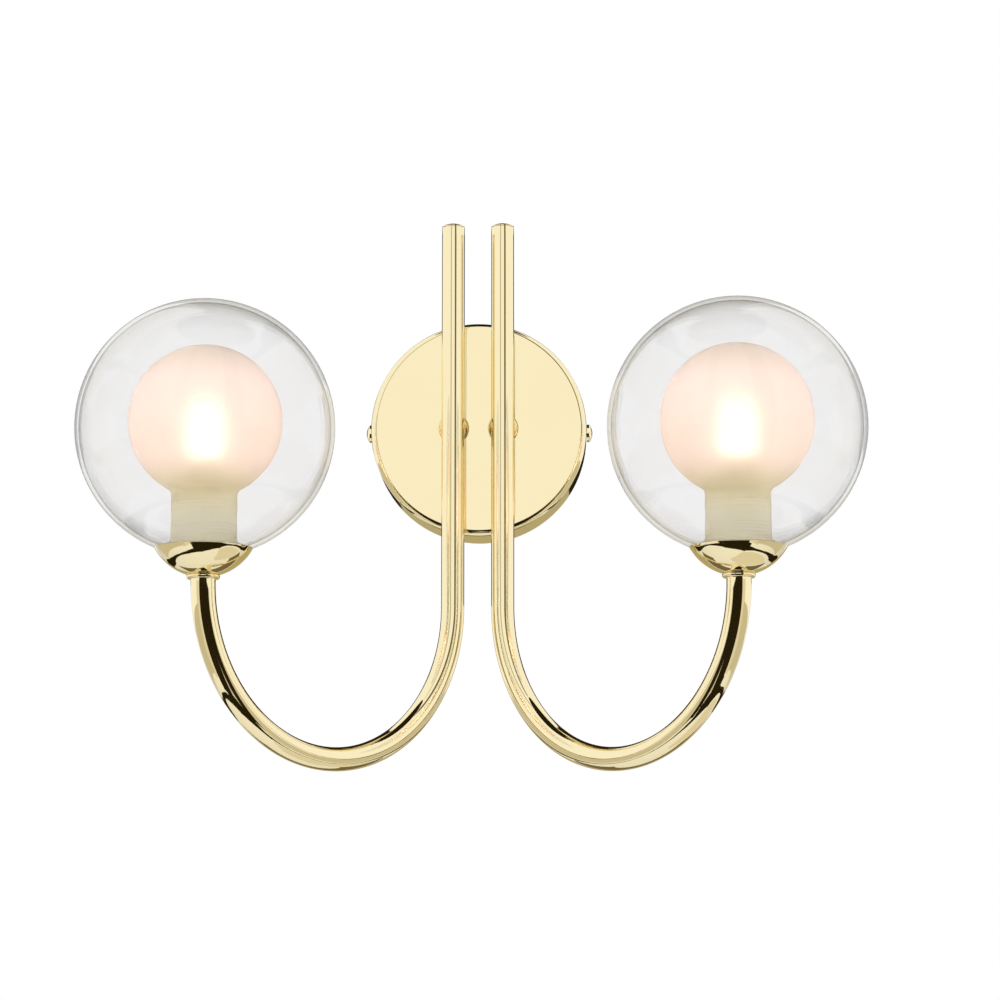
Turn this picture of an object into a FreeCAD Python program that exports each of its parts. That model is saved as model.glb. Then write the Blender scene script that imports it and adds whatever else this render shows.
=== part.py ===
"""Double arm wall sconce: a round canopy, two J-shaped tube arms and two double-walled glass globes.

Frame: millimetres, +X to the viewer's right, +Z up, the wall is the plane Y = 0 and the viewer is on -Y.
The origin is the centre of the wall plate on the wall.  Every piece is a body of its own, built in place.
"""
import FreeCAD, Part
import Sketcher
import math
import os

# ---------------------------------------------------------------------------------------------------------
# Driving sizes: one named cell each
# ---------------------------------------------------------------------------------------------------------
DRIVING_SIZES = {
    # wall plate (a spun cup, open towards the wall)
    "plate_dia": 114.0,
    "plate_depth": 32.0,
    "plate_wall": 1.2,
    "plate_edge_radius": 2.5,
    # wall bracket and the screws that hold the cup on it
    "bracket_width": 18.0,
    "bracket_thickness": 1.5,
    "bracket_bend_radius": 2.0,
    "ear_reach": 21.0,
    "ear_clearance": 0.4,
    "wall_slot_spacing": 70.0,
    "wall_slot_length": 14.0,
    "wall_slot_width": 4.8,
    "cable_hole_dia": 10.0,
    "retaining_thread_dia": 4.0,
    "retaining_head_dia": 9.4,
    "retaining_head_height": 3.0,
    "retaining_head_crown": 1.8,
    "retaining_slot_width": 1.2,
    "retaining_slot_depth": 0.9,
    "retaining_length": 8.5,
    "earth_screw_place": 18.0,
    "earth_screw_head_dia": 8.0,
    "earth_screw_head_height": 2.4,
    "earth_screw_head_chamfer": 0.8,
    # arms
    "arm_spacing": 26.0,
    "arm_dia": 12.0,
    "arm_wall": 1.0,
    "arm_rise": 105.3,
    "arm_drop": 96.0,
    "bend_radius": 82.0,
    "arm_swing": 45.0,
    "limb_length": 1.5,
    "cap_crown": 2.2,
    "cap_spigot_length": 5.0,
    # stems that carry the arms on the plate
    "arm_standoff": 8.0,
    "stem_dia": 9.8,
    "stem_bore": 7.0,
    "stem_inner_length": 8.0,
    "boss_dia": 16.2,
    "boss_nose_dia": 12.4,
    "boss_base": 1.6,
    "nut_across_flats": 14.0,
    "stem_nut_height": 4.0,
    "stem_washer_dia": 18.0,
    "stem_washer_thickness": 1.0,
    # shade cup and what clamps it on the arm
    "collar_dia": 16.2,
    "collar_thickness": 2.2,
    "collar_edge_radius": 1.3,
    "cup_rim_dia": 47.5,
    "cup_bowl_radius": 27.0,
    "cup_floor_dia": 16.2,
    "cup_wall": 1.0,
    "nipple_dia": 9.7,
    "nipple_bore": 6.4,
    "nipple_engagement": 5.0,
    "nipple_end_length": 1.8,
    # threaded carrier that the glass screws on
    "carrier_hub_dia": 15.0,
    "carrier_flange_dia": 37.0,
    "carrier_flange_thickness": 1.8,
    "carrier_skirt_wall": 1.5,
    "carrier_skirt_height": 18.0,
    "carrier_nut_height": 3.0,
    "gasket_thickness": 1.2,
    # double-walled glass
    "globe_dia": 126.0,
    "globe_wall": 2.0,
    "inner_globe_dia": 75.0,
    "inner_globe_wall": 1.8,
    "inner_globe_lift": 3.2,
    "neck_dia": 31.8,
    "neck_wall": 2.0,
    "neck_flare_radius": 4.2,
    "neck_shoulder_radius": 4.0,
    "mouth_margin": 1.0,
    "lip_flange_dia": 41.0,
    "lip_flange_thickness": 2.0,
    # lampholder and lamp
    "holder_bracket_thickness": 1.2,
    "holder_bracket_width": 11.4,
    "holder_ear_length": 11.0,
    "holder_gap": 3.6,
    "holder_dia": 18.0,
    "holder_height": 30.0,
    "holder_chamfer": 1.0,
    "holder_screw_dia": 2.6,
    "holder_screw_depth": 3.0,
    "holder_screw_head_dia": 4.0,
    "holder_screw_head_height": 0.7,
    "pin_spacing": 9.0,
    "pin_dia": 1.2,
    "pin_length": 11.0,
    "lamp_base_dia": 15.0,
    "lamp_base_height": 9.0,
    "lamp_base_chamfer": 1.5,
    "lamp_dia": 14.4,
    "lamp_height": 31.0,
    "lamp_wall": 1.0,
    # wiring inside
    "lead_dia": 3.4,
    "lead_drop": 16.0,
    "lead_end_radius": 7.0,
    "lead_turn_radius": 5.0,
    "lead_entry_depth": 5.0,
    "earth_lead_dia": 2.4,
    "block_height": 18.0,
    "block_thickness": 14.0,
    "block_margin": 5.0,
    "block_screw_dia": 3.2,
    "block_screw_length": 3.0,
    "block_screw_recess": 2.0,
    "tag_thickness": 0.8,
    "tag_ring_width": 2.6,
    "tag_tail_width": 5.0,
    "tag_tail_past": 3.0,
    # fits
    "thread_clearance": 0.05,
    "bore_clearance": 0.2,
    "screw_clearance": 0.3,
    "glass_clearance": 0.3,
    "fused_gap": 0.05,
    "entry_clearance": 0.3,
}

doc = FreeCAD.newDocument("WallSconce")
sheet = doc.addObject("Spreadsheet::Sheet", "Sizes")
for row, (alias, value) in enumerate(DRIVING_SIZES.items(), start=1):
    sheet.set(f"A{row}", alias)
    sheet.set(f"B{row}", str(value))
    sheet.setAlias(f"B{row}", alias)
doc.recompute()


class Size:
    """A length that carries the sheet formula it is bound to and its present value."""

    def __init__(self, formula, value):
        self.formula = formula
        self.value = value

    @staticmethod
    def of(other):
        return other if isinstance(other, Size) else Size(repr(float(other)), float(other))

    def __add__(self, other):
        other = Size.of(other)
        return Size(f"({self.formula} + {other.formula})", self.value + other.value)

    def __sub__(self, other):
        other = Size.of(other)
        return Size(f"({self.formula} - {other.formula})", self.value - other.value)

    def __mul__(self, other):
        other = Size.of(other)
        return Size(f"({self.formula} * {other.formula})", self.value * other.value)

    def __truediv__(self, other):
        other = Size.of(other)
        return Size(f"({self.formula} / {other.formula})", self.value / other.value)

    def __neg__(self):
        return self * -1

    __radd__ = __add__
    __rmul__ = __mul__


def root(size):
    """Square root of a size expression."""
    return Size(f"sqrt({size.formula})", math.sqrt(size.value))


def leg(hypotenuse, other_leg):
    """The third side of a right triangle, as where a circle of one radius reaches another radius."""
    return root(hypotenuse * hypotenuse - other_leg * other_leg)


class Sheet:
    """Reads each driving size from the sheet as a Size."""

    def __getattr__(self, alias):
        return Size(f"Sizes.{alias}", float(sheet.get(alias)))


size = Sheet()
ZERO = Size("0", 0.0)
SIDES = (("left", -1), ("right", 1))

# ---------------------------------------------------------------------------------------------------------
# Places that several pieces share, worked out from the driving sizes
# ---------------------------------------------------------------------------------------------------------
# across and out from the wall
plate_radius = size.plate_dia / 2
stem_radius = size.stem_dia / 2
arm_radius = size.arm_dia / 2
arm_bore_radius = arm_radius - size.arm_wall
arm_offset = size.arm_spacing / 2
arm_out = size.plate_depth + size.arm_standoff + arm_radius
plate_inside = size.plate_depth - size.plate_wall
screw_out = size.plate_depth / 2
thread_radius = size.retaining_thread_dia / 2
ear_face = leg(plate_radius - size.plate_wall, size.bracket_width / 2) - size.ear_clearance

# up the stack on the end of each arm
cup_rim_radius = size.cup_rim_dia / 2
cup_floor_radius = size.cup_floor_dia / 2
limb_end = size.limb_length - size.arm_drop
cup_floor = limb_end + size.collar_thickness
cup_centre = cup_floor + leg(size.cup_bowl_radius, cup_floor_radius)
cup_rim = cup_centre - leg(size.cup_bowl_radius, cup_rim_radius)

globe_radius = size.globe_dia / 2
globe_bore_radius = globe_radius - size.globe_wall
globe_centre = cup_rim + leg(globe_radius + size.glass_clearance, cup_rim_radius)
neck_radius = size.neck_dia / 2
neck_bore_radius = neck_radius - size.neck_wall
mouth_radius = neck_radius + size.mouth_margin
lip_top = globe_centre - leg(globe_bore_radius, mouth_radius)
lip_bottom = lip_top - size.lip_flange_thickness

flange_top = lip_bottom - size.gasket_thickness
flange_bottom = flange_top - size.carrier_flange_thickness
skirt_radius = neck_bore_radius - size.glass_clearance
carrier_floor_top = flange_top
bracket_bottom = carrier_floor_top + size.carrier_nut_height
nipple_top = bracket_bottom + size.nipple_end_length
holder_bottom = nipple_top + size.holder_gap
holder_top = holder_bottom + size.holder_height
lamp_base_top = holder_top + size.lamp_base_height
lamp_top = lamp_base_top + size.lamp_height


# ---------------------------------------------------------------------------------------------------------
# Sketch helpers
# ---------------------------------------------------------------------------------------------------------
def new_body(label, place=None):
    """A body named after its piece; place is the (x, y, z) it is carried to, as sizes."""
    body = doc.addObject("PartDesign::Body", label)
    body.Label = label
    if place:
        for axis, distance in zip("xyz", place):
            body.setExpression(f"Placement.Base.{axis}", Size.of(distance).formula)
    return body


def new_sketch(body, name, plane, offset=None, turn=None):
    """A sketch on one of the body's own planes, shifted along its normal and turned about its vertical."""
    sketch = body.newObject("Sketcher::SketchObject", f"{body.Name}_{name}")
    origin_plane = [item for item in body.Origin.OriginFeatures if item.Role == f"{plane}_Plane"][0]
    sketch.AttachmentSupport = (origin_plane, "")
    sketch.MapMode = "FlatFace"
    if turn is not None:
        upright = FreeCAD.Vector(0, 1, 0)
        sketch.AttachmentOffset = FreeCAD.Placement(FreeCAD.Vector(), FreeCAD.Rotation(upright, 1))
        sketch.setExpression("AttachmentOffset.Rotation.Angle", turn.formula)
    if offset is not None:
        sketch.setExpression("AttachmentOffset.Base.z", offset.formula)
    return sketch


def fix_distance(sketch, kind, geometry, point, distance):
    """Holds one coordinate of a sketch point at its sized distance from the sketch's origin."""
    distance = Size.of(distance)
    if distance is ZERO:
        axis = -2 if kind == "DistanceX" else -1
        sketch.addConstraint(Sketcher.Constraint("PointOnObject", geometry, point, axis))
        return
    index = sketch.addConstraint(Sketcher.Constraint(kind, -1, 1, geometry, point, distance.value))
    sketch.setExpression(f"Constraints[{index}]", distance.formula)


def fix_radius(sketch, geometry, radius):
    """Holds the radius of a circle or an arc at its size."""
    index = sketch.addConstraint(Sketcher.Constraint("Radius", geometry, radius.value))
    sketch.setExpression(f"Constraints[{index}]", radius.formula)


def arc_between(start, end, radius, turn):
    """The arc of under half a circle from start to end; turn is 1 counter-clockwise and -1 clockwise."""
    chord = end - start
    height = math.sqrt(max(radius * radius - chord.Length * chord.Length / 4, 0))
    normal = FreeCAD.Vector(-chord.y, chord.x, 0).normalize()
    centre = (start + end) / 2 + normal * height * turn
    first, last = (start, end) if turn > 0 else (end, start)
    angles = [math.atan2(point.y - centre.y, point.x - centre.x) for point in (first, last)]
    return Part.ArcOfCircle(Part.Circle(centre, FreeCAD.Vector(0, 0, 1), radius), angles[0], angles[1])


def outline(sketch, corners):
    """A closed outline through (x, y) corners; a corner (x, y, radius, turn) starts an arc to the next one."""
    points = [FreeCAD.Vector(Size.of(corner[0]).value, Size.of(corner[1]).value, 0) for corner in corners]
    ends = []
    for place, corner in enumerate(corners):
        start = points[place]
        end = points[(place + 1) % len(points)]
        if len(corner) == 4:
            geometry = sketch.addGeometry(arc_between(start, end, corner[2].value, corner[3]))
            ends.append((geometry, 1, 2) if corner[3] > 0 else (geometry, 2, 1))
        else:
            geometry = sketch.addGeometry(Part.LineSegment(start, end))
            ends.append((geometry, 1, 2))
    for place, corner in enumerate(corners):
        geometry, start_point, end_point = ends[place]
        following = ends[(place + 1) % len(ends)]
        sketch.addConstraint(Sketcher.Constraint("Coincident", geometry, end_point, following[0], following[1]))
        fix_distance(sketch, "DistanceX", geometry, start_point, corner[0])
        fix_distance(sketch, "DistanceY", geometry, start_point, corner[1])
        if len(corner) == 4:
            fix_radius(sketch, geometry, corner[2])


def circle(sketch, across, up, radius):
    """A circle of a sized radius on a sized centre."""
    centre = FreeCAD.Vector(Size.of(across).value, Size.of(up).value, 0)
    geometry = sketch.addGeometry(Part.Circle(centre, FreeCAD.Vector(0, 0, 1), radius.value))
    fix_distance(sketch, "DistanceX", geometry, 3, across)
    fix_distance(sketch, "DistanceY", geometry, 3, up)
    fix_radius(sketch, geometry, radius)


def box_corners(left, right, bottom, top):
    return [(left, bottom), (right, bottom), (right, top), (left, top)]


def hexagon_corners(across, up, across_flats):
    """Corners of a hexagon that stands on a flat side."""
    corner_radius = across_flats / math.sqrt(3)
    angles = [math.radians(60 * step) for step in range(6)]
    return [(across + corner_radius * math.cos(angle), up + corner_radius * math.sin(angle)) for angle in angles]


# ---------------------------------------------------------------------------------------------------------
# Feature helpers
# ---------------------------------------------------------------------------------------------------------
def revolve(body, plane, corners, axis="V_Axis"):
    """Turns an outline once round one of its sketch's own axes."""
    sketch = new_sketch(body, "profile", plane)
    outline(sketch, corners)
    turned = body.newObject("PartDesign::Revolution", f"{body.Name}_turned")
    turned.Profile = sketch
    turned.ReferenceAxis = (sketch, [axis])
    turned.Angle = 360
    return turned


def pad(body, name, sketch, length, both_ways=False):
    """Raises a sketch along its normal, or half to each side of it."""
    raised = body.newObject("PartDesign::Pad", f"{body.Name}_{name}")
    raised.Profile = sketch
    if both_ways:
        raised.SideType = "Symmetric"
    raised.setExpression("Length", Size.of(length).formula)
    return raised


def pocket(body, name, sketch, length=None, along_normal=False):
    """Cuts a sketch out of the body: to a depth, or right through both ways where no depth is given."""
    volume_before = body_volume(body)
    cut = body.newObject("PartDesign::Pocket", f"{body.Name}_{name}")
    cut.Profile = sketch
    if length is None:
        cut.Type = "ThroughAll"
        cut.SideType = "Symmetric"
    else:
        cut.Reversed = along_normal
        cut.setExpression("Length", Size.of(length).formula)
    if body_volume(body) >= volume_before:
        raise RuntimeError(f"{cut.Name} cut nothing")
    return cut


def body_volume(body):
    doc.recompute()
    return body.Shape.Volume


def drill(body, name, plane, holes, offset=None, length=None, along_normal=False):
    """Round holes (across, up, radius) normal to one plane of the body."""
    sketch = new_sketch(body, name + "_centres", plane, offset)
    for across, up, radius in holes:
        circle(sketch, across, up, radius)
    return pocket(body, name, sketch, length, along_normal)


# ---------------------------------------------------------------------------------------------------------
# Wall bracket and its screws
# ---------------------------------------------------------------------------------------------------------
def make_bracket():
    """Flat steel strap on the wall with an ear bent out at each end for a retaining screw."""
    body = new_body("mounting_bracket")
    thickness = size.bracket_thickness
    bend = size.bracket_bend_radius
    inner = ear_face - thickness
    reach = size.ear_reach
    strap = new_sketch(body, "strap", "XY")
    outline(strap, [
        (-ear_face, -reach),
        (-inner, -reach),
        (-inner, -(thickness + bend), bend, 1),
        (-(inner - bend), -thickness),
        (inner - bend, -thickness, bend, 1),
        (inner, -(thickness + bend)),
        (inner, -reach),
        (ear_face, -reach),
        (ear_face, -(thickness + bend), thickness + bend, 1),
        (inner - bend, ZERO),
        (-(inner - bend), ZERO, thickness + bend, 1),
        (-ear_face, -(thickness + bend)),
    ])
    pad(body, "sheet", strap, size.bracket_width, both_ways=True)
    half_pitch = size.wall_slot_spacing / 2
    slot_radius = size.wall_slot_width / 2
    straight = size.wall_slot_length / 2 - slot_radius
    drill(body, "cable_hole", "XZ", [(ZERO, ZERO, size.cable_hole_dia / 2)])
    drill(body, "earth_hole", "XZ", [(size.earth_screw_place, ZERO, thread_radius + size.thread_clearance)],
          offset=-reach / 2, length=reach, along_normal=True)
    for side, sign in SIDES:
        middle = half_pitch * sign
        drill(body, f"slot_inner_{side}", "XZ", [(middle - straight * sign, ZERO, slot_radius)])
        drill(body, f"slot_outer_{side}", "XZ", [(middle + straight * sign, ZERO, slot_radius)])
        channel = new_sketch(body, f"slot_{side}", "XZ")
        outline(channel, box_corners(middle - straight, middle + straight, -slot_radius, slot_radius))
        pocket(body, f"slot_channel_{side}", channel)
    drill(body, "ear_holes", "YZ", [(-screw_out, ZERO, thread_radius + size.thread_clearance)])
    return body


def make_retaining_screw(side, sign):
    """Domed slotted screw through the side wall of the plate into the bracket's ear."""
    body = new_body(f"retaining_screw_{side}", (ZERO, -screw_out, ZERO))
    seat = plate_radius + size.bore_clearance
    head_radius = size.retaining_head_dia / 2
    height = size.retaining_head_height
    crown = size.retaining_head_crown
    crown_radius = (head_radius * head_radius + crown * crown) / (crown * 2)
    revolve(body, "XY", [
        ((seat - size.retaining_length) * sign, ZERO),
        ((seat - size.retaining_length) * sign, thread_radius),
        (seat * sign, thread_radius),
        (seat * sign, head_radius),
        ((seat + height - crown) * sign, head_radius, crown_radius, -sign),
        ((seat + height) * sign, ZERO),
    ], axis="H_Axis")
    slot = new_sketch(body, "slot", "XY")
    half_slot = size.retaining_slot_width / 2
    slot_floor = seat + height - size.retaining_slot_depth
    outline(slot, box_corners(slot_floor * sign, (seat + height * 2) * sign, -half_slot, half_slot))
    pocket(body, "driver_slot", slot)
    return body


def make_earth_screw():
    """Earth screw on the strap, for the supply's earth wire."""
    body = new_body("earth_screw", (size.earth_screw_place, ZERO, ZERO))
    head_radius = size.earth_screw_head_dia / 2
    chamfer = size.earth_screw_head_chamfer
    face = size.bracket_thickness
    top = face + size.earth_screw_head_height
    revolve(body, "XY", [
        (ZERO, ZERO),
        (thread_radius, ZERO),
        (thread_radius, -face),
        (head_radius, -face),
        (head_radius, -(top - chamfer)),
        (head_radius - chamfer, -top),
        (ZERO, -top),
    ])
    return body


# ---------------------------------------------------------------------------------------------------------
# Wall plate and the stems
# ---------------------------------------------------------------------------------------------------------
def make_backplate():
    """Spun cup with a rounded front edge, two stem holes and an open slot each side for a screw."""
    body = new_body("backplate")
    edge = size.plate_edge_radius
    wall = size.plate_wall
    inside = plate_radius - wall
    revolve(body, "XY", [
        (ZERO, -size.plate_depth),
        (plate_radius - edge, -size.plate_depth, edge, 1),
        (plate_radius, -(size.plate_depth - edge)),
        (plate_radius, ZERO),
        (inside, ZERO),
        (inside, -(size.plate_depth - edge), edge - wall, -1),
        (plate_radius - edge, -plate_inside),
        (ZERO, -plate_inside),
    ])
    stem_hole = stem_radius + size.bore_clearance
    drill(body, "stem_holes", "XZ", [(arm_offset * sign, ZERO, stem_hole) for side, sign in SIDES])
    notch = thread_radius + size.screw_clearance
    drill(body, "screw_holes", "YZ", [(-screw_out, ZERO, notch)])
    slot = new_sketch(body, "open_slot", "YZ")
    outline(slot, box_corners(-screw_out, size.plate_wall, -notch, notch))
    pocket(body, "open_slots", slot)
    return body


def make_stem(side, sign):
    """Hollow threaded stem from inside the plate to the tube, coped to sit round the tube."""
    body = new_body(f"stem_{side}", (arm_offset * sign, ZERO, ZERO))
    inner_end = plate_inside - size.stem_inner_length
    section = new_sketch(body, "section", "XZ", inner_end)
    circle(section, ZERO, ZERO, stem_radius)
    pad(body, "rod", section, arm_out - inner_end)
    drill(body, "bore", "XZ", [(ZERO, ZERO, size.stem_bore / 2)])
    drill(body, "cope", "XY", [(ZERO, -arm_out, arm_radius)])
    return body


def make_boss(side, sign):
    """Domed collar on the stem between the plate's face and the tube."""
    body = new_body(f"stem_boss_{side}", (arm_offset * sign, ZERO, ZERO))
    face = size.plate_depth
    nose = face + size.arm_standoff - size.bore_clearance
    bore = stem_radius + size.bore_clearance
    shoulder = face + size.boss_base
    drop = nose - shoulder
    inset = (size.boss_dia - size.boss_nose_dia) / 2
    dome_radius = (drop * drop + inset * inset) / (inset * 2)
    revolve(body, "XY", [
        (bore, -face),
        (bore, -nose),
        (size.boss_nose_dia / 2, -nose, dome_radius, 1),
        (size.boss_dia / 2, -shoulder),
        (size.boss_dia / 2, -face),
    ])
    return body


def make_ring(label, place, inner_radius, outer_radius, near, far):
    """Flat washer round the stem between two distances out from the wall."""
    body = new_body(label, place)
    corners = [(inner_radius, -near), (outer_radius, -near), (outer_radius, -far), (inner_radius, -far)]
    revolve(body, "XY", corners)
    return body


def make_stem_fastening(side, sign):
    """Lock washer and hexagon nut inside the plate; the left stem also holds the earth tag."""
    place = (arm_offset * sign, ZERO, ZERO)
    bore = stem_radius + size.thread_clearance
    washer_face = plate_inside - size.stem_washer_thickness
    washer = make_ring(f"stem_washer_{side}", place, bore, size.stem_washer_dia / 2, washer_face, plate_inside)
    nut_face = washer_face - size.tag_thickness if side == "left" else washer_face
    nut = new_body(f"stem_nut_{side}", place)
    flats = new_sketch(nut, "flats", "XZ", nut_face - size.stem_nut_height)
    outline(flats, hexagon_corners(ZERO, ZERO, size.nut_across_flats))
    circle(flats, ZERO, ZERO, bore)
    pad(nut, "hexagon", flats, size.stem_nut_height)
    return [washer, nut]


def make_earth_tag():
    """Ring tag under the left nut, with a tail that reaches past the middle of the plate."""
    body = new_body("earth_tag")
    place = plate_inside - size.stem_washer_thickness - size.tag_thickness
    bore = stem_radius + size.thread_clearance
    ring = new_sketch(body, "ring", "XZ", place)
    circle(ring, -arm_offset, ZERO, bore + size.tag_ring_width)
    pad(body, "blank", ring, size.tag_thickness)
    tail = new_sketch(body, "tail", "XZ", place)
    half_width = size.tag_tail_width / 2
    outline(tail, box_corners(-arm_offset + bore, size.tag_tail_past, -half_width, half_width))
    pad(body, "tail_blank", tail, size.tag_thickness)
    drill(body, "stud_hole", "XZ", [(-arm_offset, ZERO, bore)])
    return body


# ---------------------------------------------------------------------------------------------------------
# Arms
# ---------------------------------------------------------------------------------------------------------
def make_arm(side, sign):
    """One tube: straight down past the plate, then a half-circle bend that swings out and forward."""
    body = new_body(f"arm_{side}", (arm_offset * sign, -arm_out, ZERO))
    swing = -size.arm_swing if sign > 0 else size.arm_swing - 180
    path = new_sketch(body, "path", "XZ", turn=swing)
    top = FreeCAD.Vector(0, size.arm_rise.value, 0)
    bend_start = FreeCAD.Vector(0, -size.arm_drop.value, 0)
    centre = FreeCAD.Vector(size.bend_radius.value, -size.arm_drop.value, 0)
    bend_end = centre * 2 - bend_start
    bend_end.y = bend_start.y
    limb_top = FreeCAD.Vector(bend_end.x, limb_end.value, 0)
    straight = path.addGeometry(Part.LineSegment(top, bend_start))
    round_edge = Part.Circle(centre, FreeCAD.Vector(0, 0, 1), size.bend_radius.value)
    bend = path.addGeometry(Part.ArcOfCircle(round_edge, math.pi, 2 * math.pi))
    limb = path.addGeometry(Part.LineSegment(bend_end, limb_top))
    path.addConstraint([
        Sketcher.Constraint("Vertical", straight),
        Sketcher.Constraint("Coincident", straight, 2, bend, 1),
        Sketcher.Constraint("Coincident", bend, 2, limb, 1),
        Sketcher.Constraint("Vertical", limb),
        Sketcher.Constraint("PointOnObject", straight, 1, -2),
    ])
    fix_distance(path, "DistanceY", straight, 1, size.arm_rise)
    fix_distance(path, "DistanceY", straight, 2, -size.arm_drop)
    fix_distance(path, "DistanceX", bend, 3, size.bend_radius)
    fix_distance(path, "DistanceY", bend, 3, -size.arm_drop)
    fix_distance(path, "DistanceY", bend, 2, -size.arm_drop)
    fix_distance(path, "DistanceY", limb, 2, limb_end)
    section = new_sketch(body, "section", "XY", size.arm_rise)
    circle(section, ZERO, ZERO, arm_radius)
    circle(section, ZERO, ZERO, arm_bore_radius)
    tube = body.newObject("PartDesign::AdditivePipe", f"{body.Name}_tube")
    tube.Profile = section
    tube.Spine = (path, [])
    drill(body, "wire_hole", "XZ", [(ZERO, ZERO, size.stem_bore / 2)], length=size.arm_dia)
    return body


def make_arm_cap(side, sign):
    """Low domed plug pressed into the top of the tube."""
    body = new_body(f"arm_cap_{side}", (arm_offset * sign, -arm_out, size.arm_rise))
    crown = size.cap_crown
    crown_radius = (arm_radius * arm_radius + crown * crown) / (crown * 2)
    spigot = arm_bore_radius - size.thread_clearance
    revolve(body, "XZ", [
        (ZERO, -size.cap_spigot_length),
        (spigot, -size.cap_spigot_length),
        (spigot, ZERO),
        (arm_radius, ZERO, crown_radius, 1),
        (ZERO, crown),
    ])
    return body


# ---------------------------------------------------------------------------------------------------------
# Shade stack, turned about the vertical through the end of each arm
# ---------------------------------------------------------------------------------------------------------
swing_cosine = Size("cos(Sizes.arm_swing)", math.cos(math.radians(size.arm_swing.value)))
swing_sine = Size("sin(Sizes.arm_swing)", math.sin(math.radians(size.arm_swing.value)))


def shade_axis(sign):
    """Where the vertical through the end of one arm stands."""
    reach = size.bend_radius * 2
    return ((arm_offset + reach * swing_cosine) * sign, -(arm_out + reach * swing_sine), ZERO)


def turned_on_axis(label, sign, corners):
    """A piece turned about the vertical through the end of one arm."""
    body = new_body(label, shade_axis(sign))
    revolve(body, "XZ", corners)
    return body


def make_collar(side, sign):
    """Thin round collar between the end of the tube and the cup, with a rounded edge."""
    edge_radius = size.collar_edge_radius
    half_thickness = size.collar_thickness / 2
    face_radius = size.collar_dia / 2 - edge_radius + leg(edge_radius, half_thickness)
    bore = size.nipple_dia / 2 + size.thread_clearance
    return turned_on_axis(f"arm_collar_{side}", sign, [
        (bore, limb_end),
        (face_radius, limb_end, edge_radius, 1),
        (face_radius, cup_floor),
        (bore, cup_floor),
    ])


def make_cup(side, sign):
    """Bowl-shaped gallery, part of a ball in outline, that covers the mouth of the glass."""
    wall = size.cup_wall
    bowl = size.cup_bowl_radius
    floor_inside = cup_floor + wall
    inner_bowl = bowl - wall
    inner_floor_radius = leg(inner_bowl, cup_centre - floor_inside)
    bore = size.nipple_dia / 2 + size.thread_clearance
    return turned_on_axis(f"shade_cup_{side}", sign, [
        (bore, cup_floor),
        (cup_floor_radius, cup_floor, bowl, 1),
        (cup_rim_radius, cup_rim),
        (leg(inner_bowl, cup_centre - cup_rim), cup_rim, inner_bowl, -1),
        (inner_floor_radius, floor_inside),
        (bore, floor_inside),
    ])


def make_nipple(side, sign):
    """Hollow threaded rod that clamps collar, cup and carrier on the end of the tube."""
    outer = size.nipple_dia / 2
    inner = size.nipple_bore / 2
    bottom = limb_end - size.nipple_engagement
    return turned_on_axis(f"nipple_{side}", sign, [
        (inner, bottom),
        (outer, bottom),
        (outer, nipple_top),
        (inner, nipple_top),
    ])


def make_carrier(side, sign):
    """Turned carrier: a hub on the cup's floor, a flange under the glass and a skirt that the neck screws on."""
    bore = size.nipple_dia / 2 + size.thread_clearance
    skirt_inside = skirt_radius - size.carrier_skirt_wall
    skirt_top = flange_top + size.carrier_skirt_height
    return turned_on_axis(f"shade_carrier_{side}", sign, [
        (bore, cup_floor + size.cup_wall),
        (size.carrier_hub_dia / 2, cup_floor + size.cup_wall),
        (size.carrier_hub_dia / 2, flange_bottom),
        (size.carrier_flange_dia / 2, flange_bottom),
        (size.carrier_flange_dia / 2, flange_top),
        (skirt_radius, flange_top),
        (skirt_radius, skirt_top),
        (skirt_inside, skirt_top),
        (skirt_inside, carrier_floor_top),
        (bore, carrier_floor_top),
    ])


def make_gasket(side, sign):
    """Soft ring between the flange and the lip of the glass."""
    inner = skirt_radius + size.bore_clearance
    outer = size.carrier_flange_dia / 2
    return turned_on_axis(f"shade_gasket_{side}", sign, [
        (inner, flange_top),
        (outer, flange_top),
        (outer, lip_bottom),
        (inner, lip_bottom),
    ])


def make_carrier_nut(side, sign):
    """Hexagon nut that clamps the carrier down on the nipple."""
    body = new_body(f"carrier_nut_{side}", shade_axis(sign))
    flats = new_sketch(body, "flats", "XY", carrier_floor_top)
    outline(flats, hexagon_corners(ZERO, ZERO, size.nut_across_flats))
    circle(flats, ZERO, ZERO, size.nipple_dia / 2 + size.thread_clearance)
    pad(body, "hexagon", flats, size.carrier_nut_height)
    return body


def make_outer_globe(side, sign):
    """Clear outer ball with its mouth cut flat where the inner glass is fused on."""
    lip_radius = leg(globe_radius, globe_centre - lip_top)
    return turned_on_axis(f"outer_globe_{side}", sign, [
        (mouth_radius, lip_top),
        (lip_radius, lip_top, globe_radius, 1),
        (ZERO, globe_centre + globe_radius),
        (ZERO, globe_centre + globe_bore_radius, globe_bore_radius, -1),
    ])


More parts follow.
